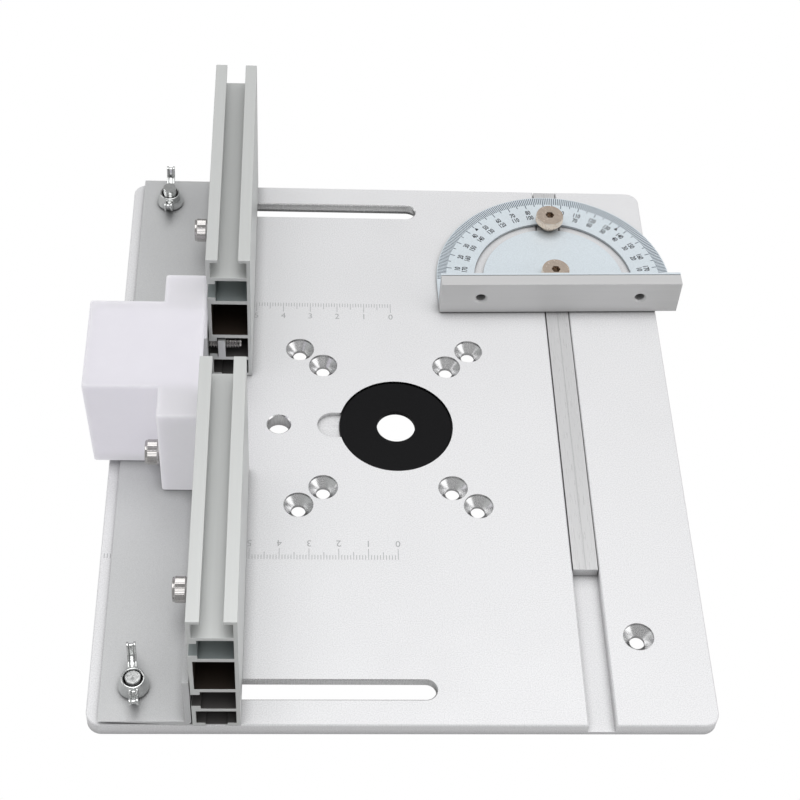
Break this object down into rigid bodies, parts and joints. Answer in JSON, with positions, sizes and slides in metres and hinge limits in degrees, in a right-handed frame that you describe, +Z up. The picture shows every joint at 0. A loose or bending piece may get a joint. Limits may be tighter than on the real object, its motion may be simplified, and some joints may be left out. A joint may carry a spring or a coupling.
{
  "type": "router table",
  "caption": "Router table insert plate with a reducer ring, a split T-slot fence on a sliding bracket with a dust hood, and a mitre gauge in a groove.",
  "frame": {"origin": "centre of the bit opening on the plate's underside", "axes": "+Z up from the work surface, +X to the right across the plate from the fence to the mitre groove, +Y to the back along the fence and the groove"},
  "size_m": [0.2137, 0.2422, 0.0663],
  "materials": {
    "plate_aluminium": "bead-blasted and clear anodised",
    "ring_phenolic": "satin black phenolic",
    "bracket_sheet": "fine brushed sheet",
    "hood_plastic": "milky translucent plastic",
    "fence_aluminium": "satin anodised extrusion",
    "zinc_steel": "bright zinc plated",
    "nut_steel": "plain satin steel",
    "rail_steel": "satin drawn bar",
    "gauge_aluminium": "satin, slightly blue, with a printed scale",
    "arm_aluminium": "satin anodised bar",
    "nickel": "warm polished nickel with a knurled rim"
  },
  "bodies": {
    "plate": {"base_plate": "plate_aluminium", "reducer_ring": "ring_phenolic"},
    "fence_carriage": {"fence_bracket": "bracket_sheet", "dust_hood": "hood_plastic", "fence_screw_front": "zinc_steel", "fence_screw_rear": "zinc_steel", "hood_screw_front": "zinc_steel", "hood_screw_rear": "zinc_steel", "fence_t_nut_front": "nut_steel", "fence_t_nut_rear": "nut_steel", "hood_t_nut_front": "nut_steel", "hood_t_nut_rear": "nut_steel", "slot_bolt_front": "zinc_steel", "slot_bolt_rear": "zinc_steel"},
    "front_fence": {"front_fence": "fence_aluminium"},
    "rear_fence": {"rear_fence": "fence_aluminium"},
    "wing_nut_front": {"wing_nut_front": "zinc_steel"},
    "wing_nut_rear": {"wing_nut_rear": "zinc_steel"},
    "mitre_rail": {"mitre_rail": "rail_steel"},
    "mitre_clamp_screw": {"mitre_clamp_screw": "nickel"},
    "mitre_pivot_screw": {"mitre_pivot_screw": "nickel"},
    "mitre_head": {"mitre_head": "gauge_aluminium", "mitre_arm": "arm_aluminium", "mitre_arm_screw_left": "zinc_steel", "mitre_arm_screw_right": "zinc_steel"}
  },
  "joints": [
    {"name": "fence_slide", "type": "slide", "parent": "plate", "child": "fence_carriage", "axis": [1, 0, 0], "range_m": [0, 0.062]},
    {"name": "front_fence_slide", "type": "slide", "parent": "fence_carriage", "child": "front_fence", "axis": [0, 1, 0], "range_m": [-0.005, 0.018]},
    {"name": "rear_fence_slide", "type": "slide", "parent": "fence_carriage", "child": "rear_fence", "axis": [0, -1, 0], "range_m": [-0.005, 0.018]},
    {"name": "wing_nut_front_spin", "type": "hinge", "parent": "fence_carriage", "child": "wing_nut_front", "pos_m": [-0.0854, -0.1077, 0.01], "axis": [0, 0, 1], "continuous": true},
    {"name": "wing_nut_rear_spin", "type": "hinge", "parent": "fence_carriage", "child": "wing_nut_rear", "pos_m": [-0.0854, 0.1077, 0.01], "axis": [0, 0, 1], "continuous": true},
    {"name": "mitre_slide", "type": "slide", "parent": "plate", "child": "mitre_rail", "axis": [0, 1, 0], "range_m": [-0.119, 0.06]},
    {"name": "mitre_swivel", "type": "hinge", "parent": "mitre_rail", "child": "mitre_head", "pos_m": [0.0623, 0.0703, 0.007], "axis": [0, 0, 1], "range_deg": [-60, 60]},
    {"name": "mitre_clamp_spin", "type": "hinge", "parent": "mitre_rail", "child": "mitre_clamp_screw", "pos_m": [0.0623, 0.0992, 0.01], "axis": [0, 0, 1], "continuous": true},
    {"name": "mitre_pivot_spin", "type": "hinge", "parent": "mitre_rail", "child": "mitre_pivot_screw", "pos_m": [0.0623, 0.0703, 0.01], "axis": [0, 0, 1], "continuous": true}
  ]
}
